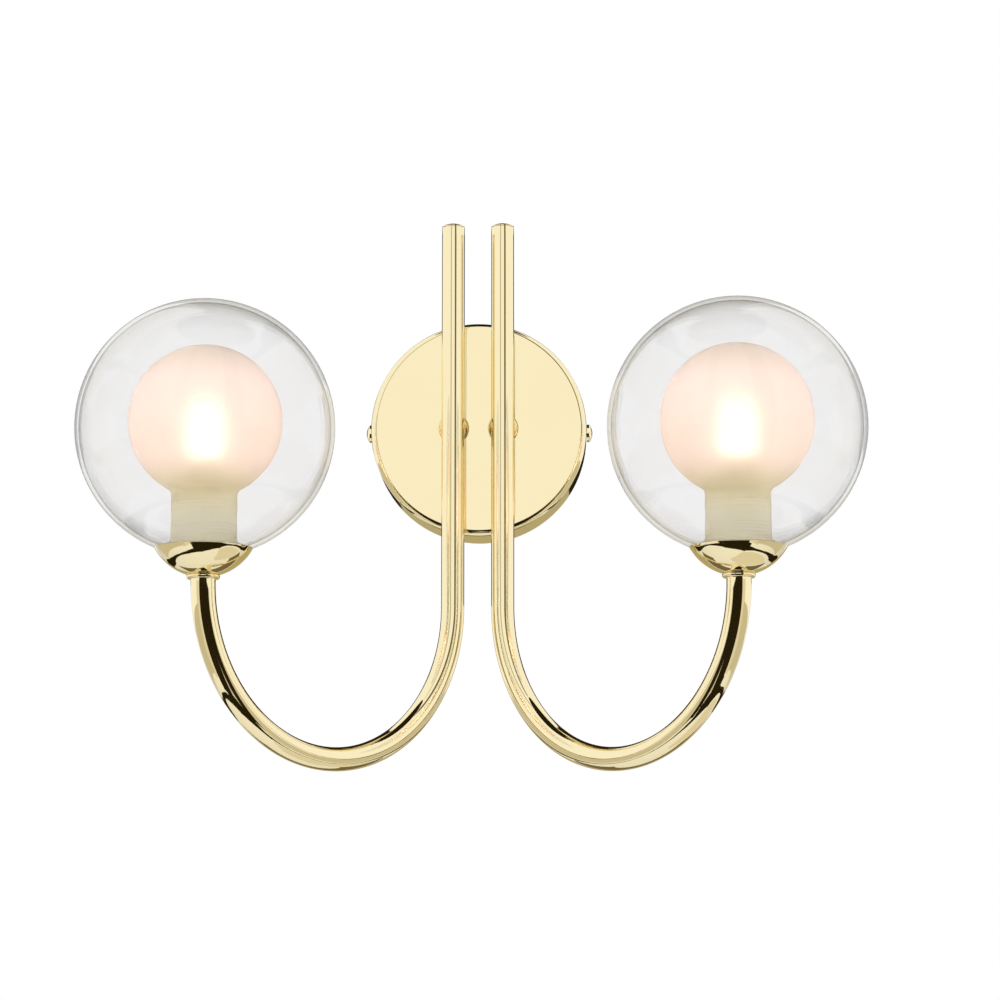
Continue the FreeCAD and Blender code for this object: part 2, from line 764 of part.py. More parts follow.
def make_inner_globe(side, sign):
    """Frosted inner ball drawn into a neck, with a flared foot fused inside the outer ball's mouth."""
    outer = size.inner_globe_dia / 2
    inner = outer - size.inner_globe_wall
    centre = globe_centre + size.inner_globe_lift
    flare = size.neck_flare_radius
    foot_radius = neck_radius + flare
    seat_radius = globe_bore_radius - size.fused_gap
    foot_edge = globe_centre - leg(seat_radius, foot_radius)
    flange_radius = size.lip_flange_dia / 2
    shoulder = size.neck_shoulder_radius
    shoulder_drop = leg(outer + shoulder, neck_radius + shoulder)
    inside = shoulder + size.inner_globe_wall
    inside_drop = leg(inner + inside, neck_bore_radius + inside)
    return turned_on_axis(f"inner_globe_{side}", sign, [
        (neck_bore_radius, lip_bottom),
        (flange_radius, lip_bottom),
        (flange_radius, lip_top),
        (leg(seat_radius, globe_centre - lip_top), lip_top, seat_radius, 1),
        (foot_radius, foot_edge, flare, -1),
        (neck_radius, foot_edge + flare),
        (neck_radius, centre - shoulder_drop, shoulder, -1),
        ((neck_radius + shoulder) * outer / (outer + shoulder),
         centre - shoulder_drop * outer / (outer + shoulder), outer, 1),
        (ZERO, centre + outer),
        (ZERO, centre + inner, inner, -1),
        ((neck_bore_radius + inside) * inner / (inner + inside),
         centre - inside_drop * inner / (inner + inside), inside, 1),
        (neck_bore_radius, centre - inside_drop),
    ])


# ---------------------------------------------------------------------------------------------------------
# Lampholder and lamp
# ---------------------------------------------------------------------------------------------------------
holder_radius = size.holder_dia / 2
holder_ear_inside = holder_radius + size.bore_clearance
holder_ear_outside = holder_ear_inside + size.holder_bracket_thickness
holder_screw_height = holder_bottom + size.holder_gap
holder_screw_radius = size.holder_screw_dia / 2
pin_offset = size.pin_spacing / 2
pin_radius = size.pin_dia / 2


def make_holder_bracket(side, sign):
    """Steel stirrup on top of the nut with an ear up each side of the lampholder."""
    body = new_body(f"holder_bracket_{side}", shade_axis(sign))
    thickness = size.holder_bracket_thickness
    ear_top = bracket_bottom + size.holder_ear_length
    stirrup = new_sketch(body, "stirrup", "XZ")
    outline(stirrup, [
        (-holder_ear_outside, bracket_bottom),
        (holder_ear_outside, bracket_bottom),
        (holder_ear_outside, ear_top),
        (holder_ear_inside, ear_top),
        (holder_ear_inside, bracket_bottom + thickness),
        (-holder_ear_inside, bracket_bottom + thickness),
        (-holder_ear_inside, ear_top),
        (-holder_ear_outside, ear_top),
    ])
    pad(body, "sheet", stirrup, size.holder_bracket_width, both_ways=True)
    drill(body, "nipple_hole", "XY", [(ZERO, ZERO, size.nipple_dia / 2 + size.thread_clearance)])
    drill(body, "screw_holes", "YZ", [(ZERO, holder_screw_height, holder_screw_radius + size.thread_clearance)])
    return body


def make_lampholder(side, sign):
    """Ceramic two-pin lampholder, round with a chamfered top and one socket for each pin."""
    body = new_body(f"lampholder_{side}", shade_axis(sign))
    chamfer = size.holder_chamfer
    revolve(body, "XZ", [
        (ZERO, holder_bottom),
        (holder_radius, holder_bottom),
        (holder_radius, holder_top - chamfer),
        (holder_radius - chamfer, holder_top),
        (ZERO, holder_top),
    ])
    socket = pin_radius + size.entry_clearance
    drill(body, "pin_sockets", "XY", [(pin_offset * end, ZERO, socket) for side_name, end in SIDES],
          offset=holder_top, length=size.pin_length + size.entry_clearance)
    depth = size.holder_screw_depth + size.entry_clearance
    hole = holder_screw_radius + size.thread_clearance
    drill(body, "screw_hole_left", "YZ", [(ZERO, holder_screw_height, hole)],
          offset=-holder_radius, length=depth, along_normal=True)
    drill(body, "screw_hole_right", "YZ", [(ZERO, holder_screw_height, hole)],
          offset=holder_radius, length=depth)
    return body


def make_holder_screws(side, sign):
    """The two small screws through the stirrup's ears into the ceramic."""
    screws = []
    for end_name, end in SIDES:
        body = new_body(f"holder_screw_{end_name}_of_{side}", shade_axis(sign))
        head_radius = size.holder_screw_head_dia / 2
        sketch = new_sketch(body, "profile", "YZ", (holder_radius - size.holder_screw_depth) * end)
        circle(sketch, ZERO, holder_screw_height, holder_screw_radius)
        shank = pad(body, "shank", sketch, holder_ear_outside - holder_radius + size.holder_screw_depth)
        shank.Reversed = end < 0
        head_sketch = new_sketch(body, "head_outline", "YZ", holder_ear_outside * end)
        circle(head_sketch, ZERO, holder_screw_height, head_radius)
        head = pad(body, "head", head_sketch, size.holder_screw_head_height)
        head.Reversed = end < 0
        screws.append(body)
    return gather(f"holder_screws_{side}", screws)


def make_lamp(side, sign):
    """Two-pin lamp: moulded base, a pair of pins and a domed cover."""
    base = new_body(f"lamp_base_{side}", shade_axis(sign))
    base_radius = size.lamp_base_dia / 2
    chamfer = size.lamp_base_chamfer
    revolve(base, "XZ", [
        (ZERO, holder_top),
        (base_radius - chamfer, holder_top),
        (base_radius, holder_top + chamfer),
        (base_radius, lamp_base_top),
        (ZERO, lamp_base_top),
    ])
    pins = []
    for end_name, end in SIDES:
        pin = new_body(f"pin_{end_name}_of_{side}", shade_axis(sign))
        sketch = new_sketch(pin, "section", "XY", holder_top - size.pin_length)
        circle(sketch, pin_offset * end, ZERO, pin_radius)
        pad(pin, "wire", sketch, size.pin_length)
        pins.append(pin)
    cover_radius = size.lamp_dia / 2
    wall = size.lamp_wall
    shoulder = lamp_top - cover_radius
    cover = turned_on_axis(f"lamp_cover_{side}", sign, [
        (cover_radius, lamp_base_top),
        (cover_radius, shoulder, cover_radius, 1),
        (ZERO, lamp_top),
        (ZERO, lamp_top - wall, cover_radius - wall, -1),
        (cover_radius - wall, shoulder),
        (cover_radius - wall, lamp_base_top),
    ])
    return [base, gather(f"lamp_pins_{side}", pins), cover]


def gather(label, bodies):
    """Identical small solids under one name, still separate solids."""
    group = doc.addObject("Part::Compound", label)
    group.Label = label
    group.Links = bodies
    return group


# ---------------------------------------------------------------------------------------------------------
# Wiring inside
# ---------------------------------------------------------------------------------------------------------
lead_out = plate_inside - size.stem_inner_length - size.lead_end_radius
block_top = -size.lead_drop
entry_radius = size.lead_dia / 2 + size.entry_clearance


def rounded_route(points, radii):
    """Edges of straight runs joined by tangent arcs; radii holds one radius for each inner point."""
    edges = []
    start = points[0]
    for place in range(1, len(points) - 1):
        corner = points[place]
        arriving = (corner - points[place - 1]).normalize()
        leaving = (points[place + 1] - corner).normalize()
        setback = radii[place - 1] * math.tan(arriving.getAngle(leaving) / 2)
        arc_start = corner - arriving * setback
        arc_end = corner + leaving * setback
        bisector = (leaving - arriving).normalize()
        centre_distance = math.hypot(radii[place - 1], setback)
        arc_middle = corner + bisector * (centre_distance - radii[place - 1])
        edges.append(Part.LineSegment(start, arc_start).toShape())
        edges.append(Part.Arc(arc_start, arc_middle, arc_end).toShape())
        start = arc_end
    edges.append(Part.LineSegment(start, points[-1]).toShape())
    return edges


def swept_lead(label, edges, radius):
    """A round lead along a route, checked against its section times its length."""
    route = Part.Wire(edges)
    start = route.Edges[0].firstVertex().Point
    heading = route.Edges[0].tangentAt(route.Edges[0].FirstParameter)
    section = Part.Wire([Part.Circle(start, heading, radius).toShape()])
    solid = route.makePipeShell([section], True, False)
    expected = math.pi * radius * radius * route.Length
    if abs(solid.Volume - expected) > expected * 0.01:
        raise RuntimeError(f"{label} doesn't fill its route")
    lead = doc.addObject("Part::Feature", label)
    lead.Label = label
    lead.Shape = solid
    return lead


def make_lead(side, sign):
    """Sleeved lead from the terminal block through stem and tube to the lampholder."""
    across = arm_offset.value * sign
    out = -arm_out.value
    block_out = -lead_out.value
    block_end = FreeCAD.Vector(across, block_out, (block_top - size.lead_entry_depth).value)
    behind_stem = FreeCAD.Vector(across, block_out, 0)
    in_tube = FreeCAD.Vector(across, out, 0)
    bend_start = FreeCAD.Vector(across, out, -size.arm_drop.value)
    edges = rounded_route([block_end, behind_stem, in_tube, bend_start],
                          [size.lead_end_radius.value, size.lead_turn_radius.value])
    swing = math.radians(size.arm_swing.value)
    outward = FreeCAD.Vector(sign * math.cos(swing), -math.sin(swing), 0)
    radius = size.bend_radius.value
    bend_middle = bend_start + outward * radius + FreeCAD.Vector(0, 0, -radius)
    bend_end = bend_start + outward * radius * 2
    edges.append(Part.Arc(bend_start, bend_middle, bend_end).toShape())
    lamp_end = FreeCAD.Vector(bend_end.x, bend_end.y, holder_bottom.value)
    edges.append(Part.LineSegment(bend_end, lamp_end).toShape())
    return swept_lead(f"lead_{side}", edges, size.lead_dia.value / 2)


def make_earth_lead():
    """Earth lead from the tag's tail to the middle terminal."""
    tag_face = (plate_inside - size.stem_washer_thickness - size.tag_thickness).value
    block_out = lead_out.value
    points = [
        FreeCAD.Vector(0, -tag_face, 0),
        FreeCAD.Vector(0, -block_out, 0),
        FreeCAD.Vector(0, -block_out, (block_top - size.lead_entry_depth).value),
    ]
    return swept_lead("earth_lead", rounded_route(points, [size.lead_end_radius.value]),
                      size.earth_lead_dia.value / 2)


def make_terminal_block():
    """Three-pole terminal block hanging on the ends of the leads, entries up and down, screws to the rear."""
    body = new_body("terminal_block")
    half_length = arm_offset + entry_radius + size.block_margin
    bottom = block_top - size.block_height
    rear = lead_out - size.block_thickness / 2
    section = new_sketch(body, "section", "XZ", rear)
    outline(section, box_corners(-half_length, half_length, bottom, block_top))
    pad(body, "moulding", section, size.block_thickness)
    poles = [-arm_offset, ZERO, arm_offset]
    entry_length = size.lead_entry_depth + size.entry_clearance
    entries = [(pole, -lead_out, entry_radius) for pole in poles]
    drill(body, "lead_entries", "XY", entries, offset=block_top, length=entry_length)
    drill(body, "supply_entries", "XY", entries, offset=bottom, length=entry_length, along_normal=True)
    recess = size.block_screw_dia / 2 + size.entry_clearance
    middle = block_top - size.block_height / 2
    drill(body, "screw_recesses", "XZ", [(pole, middle, recess) for pole in poles], offset=rear,
          length=size.block_screw_recess + size.block_screw_length, along_normal=True)
    screws = []
    for number, pole in enumerate(poles, start=1):
        screw = new_body(f"terminal_screw_{number}")
        sketch = new_sketch(screw, "section", "XZ", rear + size.block_screw_recess)
        circle(sketch, pole, middle, size.block_screw_dia / 2)
        pad(screw, "shank", sketch, size.block_screw_length)
        screws.append(screw)
    return [body, gather("terminal_screws", screws)]


# ---------------------------------------------------------------------------------------------------------
# Assembly, checks and export
# ---------------------------------------------------------------------------------------------------------
pieces = [make_bracket(), make_earth_screw(), make_backplate(), make_earth_tag(), make_earth_lead()]
pieces += make_terminal_block()
for side, sign in SIDES:
    pieces += [
        make_retaining_screw(side, sign),
        make_stem(side, sign),
        make_boss(side, sign),
        make_arm(side, sign),
        make_arm_cap(side, sign),
        make_collar(side, sign),
        make_cup(side, sign),
        make_nipple(side, sign),
        make_carrier(side, sign),
        make_gasket(side, sign),
        make_carrier_nut(side, sign),
        make_holder_bracket(side, sign),
        make_lampholder(side, sign),
        make_holder_screws(side, sign),
        make_outer_globe(side, sign),
        make_inner_globe(side, sign),
        make_lead(side, sign),
    ]
    pieces += make_stem_fastening(side, sign)
    pieces += make_lamp(side, sign)
doc.recompute()

failed = [item.Name for item in doc.Objects if "Invalid" in item.State or "Error" in item.State]
failed += [piece.Label for piece in pieces if piece.Shape.isNull() or not piece.Shape.isValid()]
if failed:
    raise RuntimeError(f"these did not build: {failed}")

os.makedirs("parts", exist_ok=True)
for piece in pieces:
    piece.Shape.exportStep(f"parts/{piece.Label}.step")
    print(f"{piece.Label}: {len(piece.Shape.Solids)} solid(s), {piece.Shape.Volume:.1f} mm3")
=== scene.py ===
import bmesh
import bpy
import math
from mathutils import Matrix, Vector


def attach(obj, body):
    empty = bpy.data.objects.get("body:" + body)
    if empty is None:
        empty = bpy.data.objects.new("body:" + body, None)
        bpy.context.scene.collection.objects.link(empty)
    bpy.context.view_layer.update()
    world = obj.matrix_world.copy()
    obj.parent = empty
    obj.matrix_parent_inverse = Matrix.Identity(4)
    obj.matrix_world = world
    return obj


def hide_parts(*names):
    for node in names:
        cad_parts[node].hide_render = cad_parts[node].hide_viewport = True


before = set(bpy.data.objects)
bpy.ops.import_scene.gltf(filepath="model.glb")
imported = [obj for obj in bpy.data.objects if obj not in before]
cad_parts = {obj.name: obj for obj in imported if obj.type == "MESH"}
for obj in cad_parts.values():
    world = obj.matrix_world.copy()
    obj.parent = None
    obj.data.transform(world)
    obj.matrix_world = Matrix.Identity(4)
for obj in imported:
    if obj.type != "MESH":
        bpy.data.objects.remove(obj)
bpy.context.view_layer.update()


# ---------------------------------------------------------------------------------------------------------
# View.  The lens sits a little under the light and looks slightly up at it, on a long focal length, as for
# a catalogue picture of something that hangs at eye level.  Lengths are in metres.
# ---------------------------------------------------------------------------------------------------------
lens_place = Vector((0.04628, -1.6011, -0.2612))
lens_pan = -0.0223
lens_tilt = 0.1413
lens_focal_mm = 108.4
sensor_width_mm = 36
farthest_seen = 30

looking = Vector((math.sin(lens_pan) * math.cos(lens_tilt), math.cos(lens_pan) * math.cos(lens_tilt),
                  math.sin(lens_tilt)))
view = bpy.data.objects.new("view", bpy.data.cameras.new("view"))
view.data.lens = lens_focal_mm
view.data.sensor_width = sensor_width_mm
view.data.clip_end = farthest_seen
view.location = lens_place
view.rotation_euler = looking.to_track_quat("-Z", "Y").to_euler()
bpy.context.collection.objects.link(view)
bpy.context.scene.camera = view
bpy.context.scene.view_settings.view_transform = "Standard"


# ---------------------------------------------------------------------------------------------------------
# Studio.  A pale floor well under the light, a white surround, two soft lamps, and dark and pale cards that
# only the polished metal and the glass see, as a photographer sets them to draw the edges of bright pieces.
# ---------------------------------------------------------------------------------------------------------
class Socket:
    """One output of a node.  The operators +, * and ** on it add Math nodes."""

    def __init__(self, finish, output):
        self.finish = finish
        self.output = output

    def maths(self, operation, other):
        return self.finish.node("ShaderNodeMath", {"operation": operation}, {0: self, 1: other})

    def __add__(self, other):
        return self.maths("ADD", other)

    def __mul__(self, other):
        return self.maths("MULTIPLY", other)

    def __pow__(self, other):
        return self.maths("POWER", other)

    __radd__ = __add__
    __rmul__ = __mul__


class Finish:
    """A material, or the world, whose nodes are added one by one."""

    def __init__(self, name, tree=None):
        if tree is None:
            self.material = bpy.data.materials.new(name)
            self.material.use_nodes = True
            tree = self.material.node_tree
        self.tree = tree
        self.tree.nodes.clear()

    def node(self, kind, settings=None, sockets=None, output=0):
        """Adds a node, its settings first and then the values or links of its sockets."""
        made = self.tree.nodes.new(kind)
        for name, value in (settings or {}).items():
            if name == "stops":
                ramp = made.color_ramp
                while len(ramp.elements) < len(value):
                    ramp.elements.new(0.5)
                for stop, (position, colour) in zip(ramp.elements, value):
                    stop.position = position
                    stop.color = colour
            else:
                setattr(made, name, value)
        for name, value in (sockets or {}).items():
            if isinstance(value, Socket):
                self.tree.links.new(value.output, made.inputs[name])
            else:
                made.inputs[name].default_value = value
        return Socket(self, made.outputs[output]) if made.outputs else None

    def place(self):
        """The piece's own coordinates, in metres."""
        return self.node("ShaderNodeTexCoord", output="Object")

    def height(self):
        return self.node("ShaderNodeSeparateXYZ", None, {0: self.place()}, output="Z")

    def noise(self, scale, detail, stretch=(1, 1, 1)):
        """Noise from 0 to 1 over the piece."""
        placed = self.node("ShaderNodeMapping", None, {"Vector": self.place(), "Scale": stretch})
        return self.node("ShaderNodeTexNoise", None, {"Vector": placed, "Scale": scale, "Detail": detail})

    def ramp(self, value, stops):
        return self.node("ShaderNodeValToRGB", {"stops": stops}, {0: value})

    def blend(self, share, first, second):
        """A colour between two others: 0, 6 and 7 are the Mix node's factor and colours, 2 its colour out."""
        return self.node("ShaderNodeMix", {"data_type": "RGBA"}, {0: share, 6: first, 7: second}, output=2)

    def bump(self, value, distance, strength):
        return self.node("ShaderNodeBump", None,
                         {"Height": value, "Distance": distance, "Strength": strength})

    def done(self, shader):
        self.node("ShaderNodeOutputMaterial", None, {"Surface": shader})
        return self.material

    def surface(self, sockets):
        """The finished material, on one Principled shader."""
        return self.done(self.node("ShaderNodeBsdfPrincipled", None, sockets))


surround_level = 0.62
white = (1, 1, 1, 1)
world = bpy.data.worlds.new("surround")
world.use_nodes = True
bpy.context.scene.world = world
surround = Finish("surround", world.node_tree)
camera_ray = surround.node("ShaderNodeLightPath", output="Is Camera Ray")
glossy_ray = surround.node("ShaderNodeLightPath", output="Is Glossy Ray")
through_ray = surround.node("ShaderNodeLightPath", output="Is Transmission Ray")
seen = camera_ray.maths("MAXIMUM", glossy_ray).maths("MAXIMUM", through_ray)
plain_light = surround.node("ShaderNodeBackground", None, {"Color": white, "Strength": surround_level})
white_wall = surround.node("ShaderNodeBackground", None, {"Color": white, "Strength": 1.0})
mixed = surround.node("ShaderNodeMixShader", None, {0: seen, 1: plain_light, 2: white_wall})
surround.node("ShaderNodeOutputWorld", None, {"Surface": mixed})


def stage_piece(name, mesh, material):
    """An object of the studio, which isn't part of the light."""
    data = bpy.data.meshes.new(name)
    mesh.to_mesh(data)
    mesh.free()
    data.materials.append(material)
    piece = bpy.data.objects.new(name, data)
    bpy.context.collection.objects.link(piece)
    return piece


floor_height = -0.62
floor_half = 3.0
floor_paint = Finish("floor_paint").surface({
    "Base Color": (0.93, 0.93, 0.93, 1), "Roughness": 0.9, "Specular IOR Level": 0.1})
mesh = bmesh.new()
bmesh.ops.create_grid(mesh, x_segments=1, y_segments=1, size=floor_half,
                      matrix=Matrix.Translation((0, 0, floor_height)))
stage_piece("floor", mesh, floor_paint)


def card_paint(name, colour):
    paint = Finish(name)
    return paint.done(paint.node("ShaderNodeEmission", None, {"Color": colour + (1,), "Strength": 1.0}))


black_card = card_paint("black_card", (0.018, 0.013, 0.004))
brown_card = card_paint("brown_card", (0.17, 0.14, 0.07))
olive_card = card_paint("olive_card", (0.46, 0.39, 0.20))
pale_card = card_paint("pale_card", (0.60, 0.56, 0.45))
front_card = card_paint("front_card", (0.76, 0.72, 0.60))
table_card = card_paint("table_card", (0.74, 0.70, 0.58))
grey_card = card_paint("grey_card", (0.50, 0.48, 0.40))
stage_centre = Vector((0, -0.1, -0.03))
card_distance = 1.35
front_distance = 1.5
near_distance = 0.3
near_across = 0.129  # the near cards stand round the end of each tube
near_out = -0.162
near_height = -0.0945
degrees_per_column = 1
card_rows = 12
lowest_card = floor_height + 0.01


def direction(azimuth, elevation):
    """Azimuth in degrees from straight in front, to the right, and elevation up."""
    across, up = math.radians(azimuth), math.radians(elevation)
    return Vector((math.sin(across) * math.cos(up), -math.cos(across) * math.cos(up), math.sin(up)))


def card(name, material, *stops, centre=stage_centre, distance=card_distance):
    """A strip of card that shows in reflections only.  Each stop is (azimuth, lower and upper elevation) as
    seen from the centre; a card that would sink into the floor is bent to lie on it."""
    first, last = stops[0][0], stops[-1][0]
    mesh = bmesh.new()
    bmesh.ops.create_grid(mesh, x_segments=round((last - first) / degrees_per_column), y_segments=card_rows,
                          size=0.5)
    for corner in mesh.verts:
        across = min(first + (corner.co.x + 0.5) * (last - first), last)
        here = next(index for index in range(1, len(stops)) if across <= stops[index][0])
        (start, low, high), (end, next_low, next_high) = stops[here - 1], stops[here]
        share = (across - start) / (end - start)
        low += (next_low - low) * share
        high += (next_high - high) * share
        towards = direction(across, low + (high - low) * (corner.co.y + 0.5))
        reach = distance
        if towards.z < 0:
            reach = min(reach, (lowest_card - centre.z) / towards.z)
        corner.co = centre + towards * reach
    piece = stage_piece(name, mesh, material)
    piece.visible_camera = False
    piece.visible_diffuse = False
    piece.visible_shadow = False
    piece.visible_transmission = False


for name, across in (("card_near_left", -near_across), ("card_near_right", near_across)):
    card(name, black_card, (-30, -61, 7.3), (28, -61, 7.3),
         centre=Vector((across, near_out, near_height)), distance=near_distance)
card("card_table_edge", black_card, (-160, -12, -8), (-138, -32, -22), (-128, -38, -30), (-110, -43, -39),
     (-85, -50, -47), (-65, -56, -51), (-31, -63, -54), (-30, -64, -46), (0, -65, -46), (45, -62, -46),
     (46, -60, -51), (65, -54, -50), (85, -49, -46), (110, -42, -38), (128, -37, -30), (138, -31, -22),
     (160, -12, -8))
card("card_strip_left", grey_card, (-25, -46, 66), (-15, -46, 66))
card("card_strip_right", brown_card, (17, -46, 66), (34, -46, 66))
card("card_overhead", black_card, (-180, 68, 90), (180, 68, 90))
card("card_behind", black_card, (138, 3, 20), (157, 3, 22), (158, 3, 68), (202, 3, 68), (203, 3, 22),
     (222, 3, 20))
card("card_behind_low", brown_card, (132, -60, -38), (228, -60, -38))
card("card_behind_middle", olive_card, (150, -36, 3), (210, -36, 3))
card("card_side_left", pale_card, (-128, -30, -8), (-52, -44, -8))
card("card_side_right", pale_card, (52, -44, -8), (128, -30, -8))
card("card_front", front_card, (-60, -45, 3), (60, -45, 3), distance=front_distance)
card("card_table_right", table_card, (40, -88, -66), (65, -88, -57), (85, -88, -52), (110, -88, -46),
     (128, -88, -42))


def soft_lamp(name, azimuth, elevation, distance, size, watts):
    lamp = bpy.data.objects.new(name, bpy.data.lights.new(name, "AREA"))
    lamp.data.shape = "SQUARE"
    lamp.data.size = size
    lamp.data.energy = watts
    lamp.location = stage_centre + direction(azimuth, elevation) * distance
    lamp.rotation_euler = (stage_centre - lamp.location).to_track_quat("-Z", "Y").to_euler()
    lamp.visible_camera = False
    lamp.visible_glossy = False
    bpy.context.collection.objects.link(lamp)


soft_lamp("lamp_upper_left", azimuth=-48, elevation=52, distance=1.9, size=1.1, watts=15)
soft_lamp("lamp_upper_right", azimuth=52, elevation=40, distance=1.9, size=1.1, watts=9)


# ---------------------------------------------------------------------------------------------------------
# Canopy.  A spun brass cup with a rounded front edge, polished and lacquered, open towards the wall, with a
# hole for each stem and an open slot in each side wall for a retaining screw.
# ---------------------------------------------------------------------------------------------------------
canopy_radius = 0.057
canopy_depth = 0.032
canopy_wall = 0.0012
canopy_edge = 0.0033
face_ring = 0.004  # how far in from the rounded edge the face stays flat in the shading
wall_ring = 0.003  # and the wall, at both of its ends
arm_offset = 0.013
stem_hole_radius = 0.0051
stem_cut_length = 0.01
side_slot_half = 0.0023
side_slot_out = 0.016
side_cut_length = 0.012
side_cut_past = 0.002
same_place = 1e-6
hard_edge_degrees = 32

brass_colour = (0.965, 0.850, 0.550, 1)
brass_deep = (0.93, 0.795, 0.44, 1)
lacquered = Finish("polished_brass")
clouds = lacquered.noise(scale=38, detail=3)
polishing_lines = lacquered.noise(scale=900, detail=2, stretch=(1, 1, 0.12))
brass = lacquered.surface({
    "Base Color": lacquered.blend(clouds * 0.35, brass_colour, brass_deep),
    "Metallic": 1.0,
    "Roughness": clouds * 0.03 + polishing_lines * 0.02 + 0.02,
    "Normal": lacquered.bump(polishing_lines, distance=0.000002, strength=0.1),
})


def keep_mesh(name, mesh, material, body, replaced, sharp_degrees=hard_edge_degrees):
    """Makes the piece from its mesh, shades it smooth between its hard edges and ties it to its body."""
    bmesh.ops.remove_doubles(mesh, verts=mesh.verts, dist=same_place)
    bmesh.ops.recalc_face_normals(mesh, faces=mesh.faces)
    data = bpy.data.meshes.new(name)
    mesh.to_mesh(data)
    mesh.free()
    data.shade_smooth()
    data.set_sharp_from_angle(angle=math.radians(sharp_degrees))
    data.materials.append(material)
    piece = bpy.data.objects.new(name, data)
    bpy.context.collection.objects.link(piece)
    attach(piece, body)
    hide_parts(*replaced)
    return piece


def corners_in(geometry):
    return [item for item in geometry if isinstance(item, bmesh.types.BMVert)]


def turned(start, moves, place, steps, facing=(0, 0, 1), closed=False):
    """A mesh turned about an axis through place.  A move is (radius, height) for a straight run, or (centre
    radius, centre height, degrees, steps) for an arc, counter-clockwise with height up the page.  A closed
    outline runs straight back to its start."""
    mesh = bmesh.new()
    first = pen = mesh.verts.new((start[0], 0, start[1]))
    for move in moves:
        if len(move) == 2:
            following = mesh.verts.new((move[0], 0, move[1]))
            mesh.edges.new((pen, following))
            pen = following
        else:
            arc = bmesh.ops.spin(mesh, geom=[pen], cent=(move[0], 0, move[1]), axis=(0, -1, 0),
                                 angle=math.radians(move[2]), steps=move[3])
            pen = corners_in(arc["geom_last"])[0]
    if closed:
        mesh.edges.new((pen, first))
    bmesh.ops.spin(mesh, geom=mesh.verts[:] + mesh.edges[:], cent=(0, 0, 0), axis=(0, 0, 1),
                   angle=2 * math.pi, steps=steps, use_merge=True)
    turn = Vector((0, 0, 1)).rotation_difference(Vector(facing)).to_matrix().to_4x4()
    bmesh.ops.transform(mesh, matrix=Matrix.Translation(place) @ turn, verts=mesh.verts)
    # A run along the axis, from one pole of a hollow ball to the other, makes no faces and goes.
    loose = [edge for edge in mesh.edges if not edge.link_faces]
    bmesh.ops.delete(mesh, geom=loose, context="EDGES")
    return mesh


def add_block(mesh, place, sides):
    """Adds a square block to a cutter."""
    bmesh.ops.create_cube(mesh, size=1, matrix=Matrix.Translation(place) @ Matrix.Diagonal((*sides, 1)))


def add_rod(mesh, place, radius, length, turned_about):
    """Adds an upright rod, laid down by a quarter turn, to a cutter."""
    bmesh.ops.create_cone(mesh, cap_ends=True, segments=32, radius1=radius, radius2=radius, depth=length,
                          matrix=Matrix.Translation(place) @ Matrix.Rotation(math.pi / 2, 4, turned_about))


def cut_from(piece, cutter_mesh):
    """Takes a cutter's shape out of a piece for good."""
    data = bpy.data.meshes.new("cutter")
    cutter_mesh.to_mesh(data)
    cutter_mesh.free()
    cutter = bpy.data.objects.new("cutter", data)
    bpy.context.collection.objects.link(cutter)
    cut = piece.modifiers.new("cut", "BOOLEAN")
    cut.operation = "DIFFERENCE"
    cut.solver = "EXACT"
    cut.use_self = True
    cut.object = cutter
    bpy.context.view_layer.update()
    shaped = bpy.data.meshes.new_from_object(piece.evaluated_get(bpy.context.evaluated_depsgraph_get()))
    piece.modifiers.clear()
    piece.data = shaped
    bpy.data.objects.remove(cutter)
    shaped.shade_smooth()
    shaped.set_sharp_from_angle(angle=math.radians(hard_edge_degrees))


inside = canopy_radius - canopy_wall
mesh = turned((0, canopy_depth), [
    (canopy_radius - canopy_edge - face_ring, canopy_depth),
    (canopy_radius - canopy_edge, canopy_depth),
    (canopy_radius - canopy_edge, canopy_depth - canopy_edge, -90, 14),
    (canopy_radius, canopy_depth - canopy_edge - wall_ring),
    (canopy_radius, wall_ring),
    (canopy_radius, 0),
    (inside, 0),
    (inside, canopy_depth - canopy_edge),
    (canopy_radius - canopy_edge, canopy_depth - canopy_edge, 90, 8),
    (0, canopy_depth - canopy_wall),
], (0, 0, 0), steps=192, facing=(0, -1, 0))
canopy = keep_mesh("canopy", mesh, brass, "fixture", ["backplate"])
mesh = bmesh.new()
for end in (-1, 1):
    add_block(mesh, (end * canopy_radius, -side_slot_out / 2 + side_cut_past / 2, 0),
              (side_cut_length, side_slot_out + side_cut_past, side_slot_half * 2))
    add_rod(mesh, (end * canopy_radius, -side_slot_out, 0), side_slot_half, side_cut_length, "Y")
    add_rod(mesh, (end * arm_offset, -canopy_depth, 0), stem_hole_radius, stem_cut_length, "X")
cut_from(canopy, mesh)


# ---------------------------------------------------------------------------------------------------------
# Arms.  Drawn brass tube, straight down past the canopy and then bent through half a circle that swings
# out and forward; a pressed-in domed plug closes the top, and the stem behind carries it.
# ---------------------------------------------------------------------------------------------------------
sides = (("left", -1), ("right", 1))
arm_out = 0.046
arm_radius = 0.006
arm_wall = 0.001
arm_edge = 0.00015
arm_rise = 0.1053
arm_drop = 0.096
bend_radius = 0.082
swing = math.radians(45)
limb_top = -0.0945
straight_steps = 24
around_steps = 64
bend_steps = 96
plug_radius = 0.0059
plug_depth = 0.005
plug_shank = 0.00495
plug_seam = 0.0003
plug_flange = 0.0003
plug_rise = 0.0022
plug_sharp_degrees = 20


def ring_corners(ring):
    """The corners of a ring of edges, each once and in the ring's own order."""
    return list(dict.fromkeys(corner for edge in ring for corner in edge.verts))


